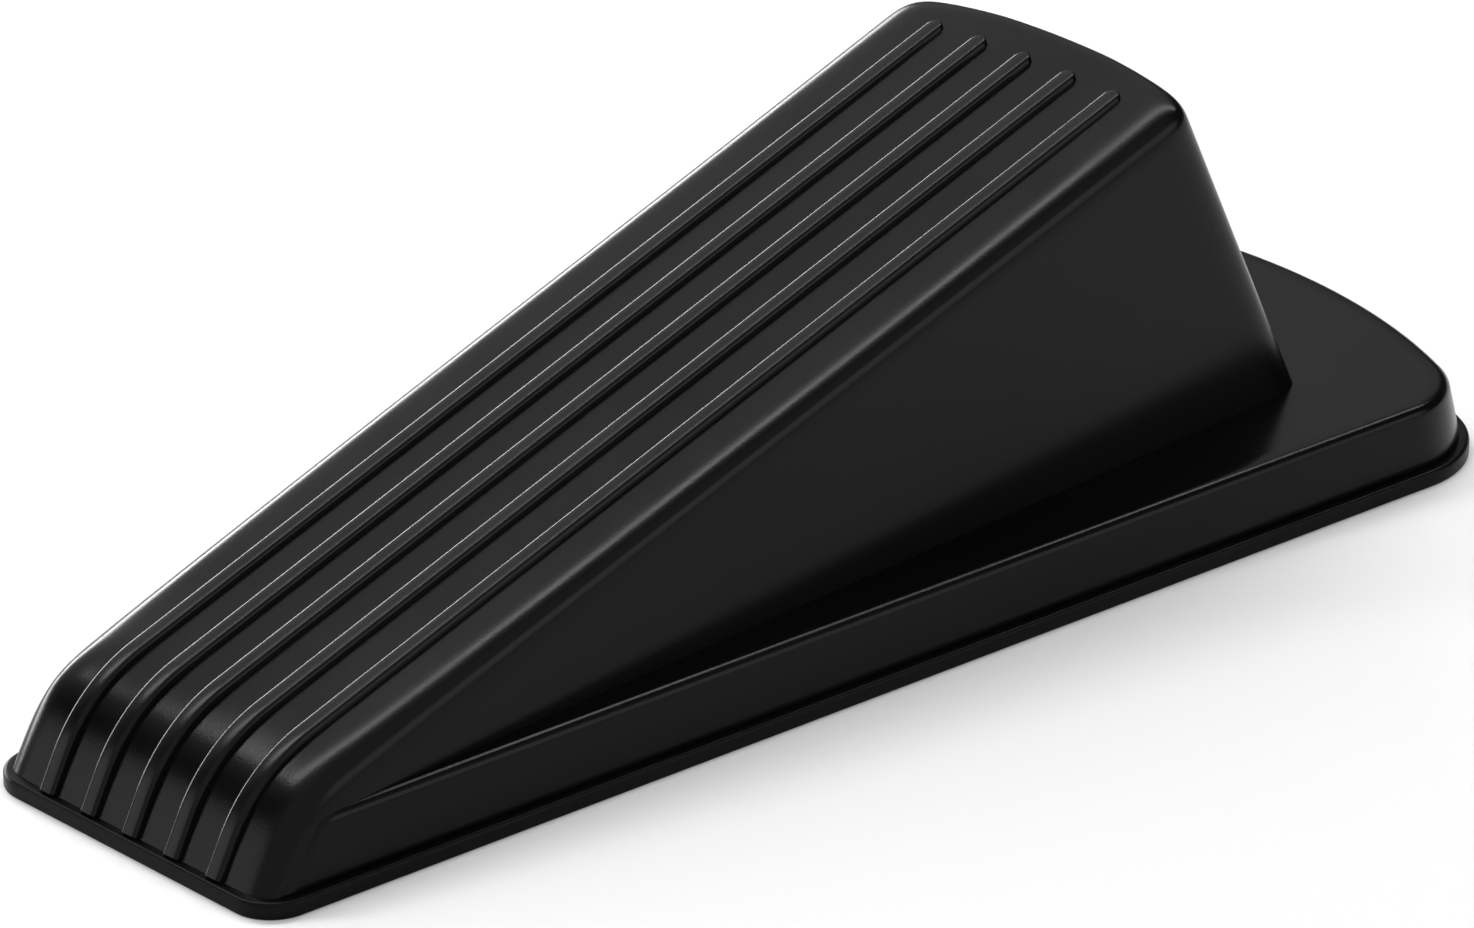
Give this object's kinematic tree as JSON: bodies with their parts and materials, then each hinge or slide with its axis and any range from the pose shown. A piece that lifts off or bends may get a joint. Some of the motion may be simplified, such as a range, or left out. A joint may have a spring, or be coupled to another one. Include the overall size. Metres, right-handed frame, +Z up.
{
  "type": "door stop",
  "caption": "Moulded rubber wedge door stop on a broad flat foot, with raised grip ribs running up the ramp and over the toe, and a non-slip sole.",
  "frame": {"origin": "on the floor, under the middle of the sole's bounding box", "axes": "+Z up from the floor, -Y towards the thin toe that goes under the door, +Y towards the heel, +X to the right seen from the toe"},
  "size_m": [0.075, 0.1714, 0.047],
  "materials": {
    "body_rubber": "satin black moulded rubber",
    "sole_rubber": "matt black non-slip rubber",
    "rib_rubber": "satin black grip rubber"
  },
  "bodies": {
    "root": {"body": "body_rubber", "sole_pad": "sole_rubber", "grip_rib_1": "rib_rubber", "grip_rib_2": "rib_rubber", "grip_rib_3": "rib_rubber", "grip_rib_4": "rib_rubber", "grip_rib_5": "rib_rubber"}
  },
  "joints": []
}
